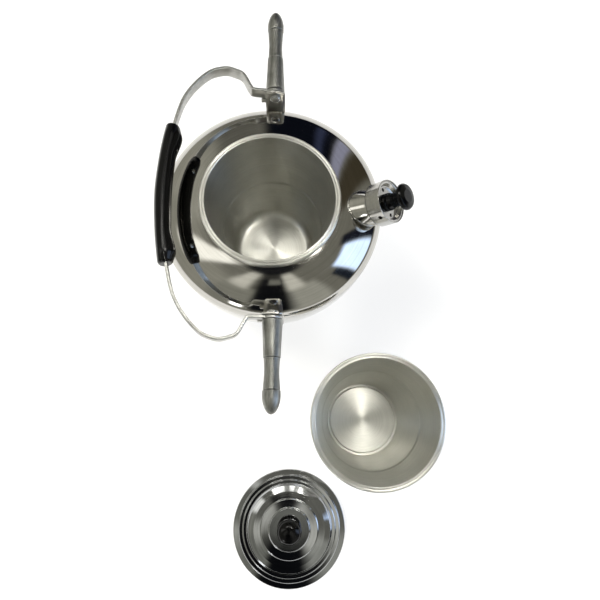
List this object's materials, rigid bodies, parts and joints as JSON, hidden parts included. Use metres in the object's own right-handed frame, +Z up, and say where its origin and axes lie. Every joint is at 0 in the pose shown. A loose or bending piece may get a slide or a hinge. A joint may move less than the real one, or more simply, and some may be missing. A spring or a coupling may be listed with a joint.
{
  "type": "whistling kettle with inner pot",
  "caption": "Round kettle with a folding bail, side handles, a whistle on its short spout and a deep pot hanging in its mouth, with a loose tapered cup and stepped lid.",
  "frame": {"origin": "centre of the kettle's base on the table", "axes": "+Z up, +X towards the spout, the bail folded towards -X, side handles along Y"},
  "size_m": [0.3034, 0.6261, 0.2159],
  "materials": {
    "polished_steel": "mirror-polished stainless steel",
    "satin_steel": "satin stainless steel",
    "cast_grey": "dull cast metal with lengthwise rubbing",
    "black_bakelite": "glossy black moulded bakelite"
  },
  "bodies": {
    "kettle": {"kettle_bowl": "polished_steel", "kettle_shoulder": "polished_steel", "base_plate": "polished_steel", "spout_neck": "polished_steel", "ear_rear": "polished_steel", "pivot_stud_rear": "polished_steel", "ferrule_rear": "cast_grey", "side_handle_rear": "cast_grey", "handle_cap_rear": "cast_grey", "ear_front": "polished_steel", "pivot_stud_front": "polished_steel", "ferrule_front": "cast_grey", "side_handle_front": "cast_grey", "handle_cap_front": "cast_grey"},
    "bail": {"bail_strip": "satin_steel", "grip_outer": "black_bakelite", "grip_inner": "black_bakelite", "grip_screw_rear": "polished_steel", "grip_screw_front": "polished_steel"},
    "whistle": {"whistle_case": "polished_steel", "whistle_reed": "polished_steel", "whistle_face": "polished_steel", "whistle_knob": "black_bakelite", "whistle_screw": "polished_steel"},
    "pot": {"inner_pot": "satin_steel"},
    "cup": {"inner_cup": "satin_steel"},
    "lid": {"lid_shell": "polished_steel", "lid_collar": "polished_steel", "lid_knob": "black_bakelite", "lid_washer": "polished_steel", "lid_screw": "polished_steel"}
  },
  "joints": [
    {"name": "bail_fold", "type": "hinge", "parent": "kettle", "child": "bail", "pos_m": [0.0038, 0, 0.182], "axis": [0, -1, 0], "range_deg": [-145, 0]},
    {"name": "whistle_pull", "type": "slide", "parent": "kettle", "child": "whistle", "axis": [0.6814, -0.0286, 0.7314], "range_m": [0, 0.03]},
    {"name": "pot_lift", "type": "slide", "parent": "kettle", "child": "pot", "axis": [0, 0, 1], "range_m": [0, 0.17]},
    {"name": "cup_lift", "type": "slide", "parent": "kettle", "child": "cup", "axis": [0, 0, 1], "range_m": [0, 0.2]},
    {"name": "lid_lift", "type": "slide", "parent": "kettle", "child": "lid", "axis": [0, 0, 1], "range_m": [0, 0.2]}
  ]
}
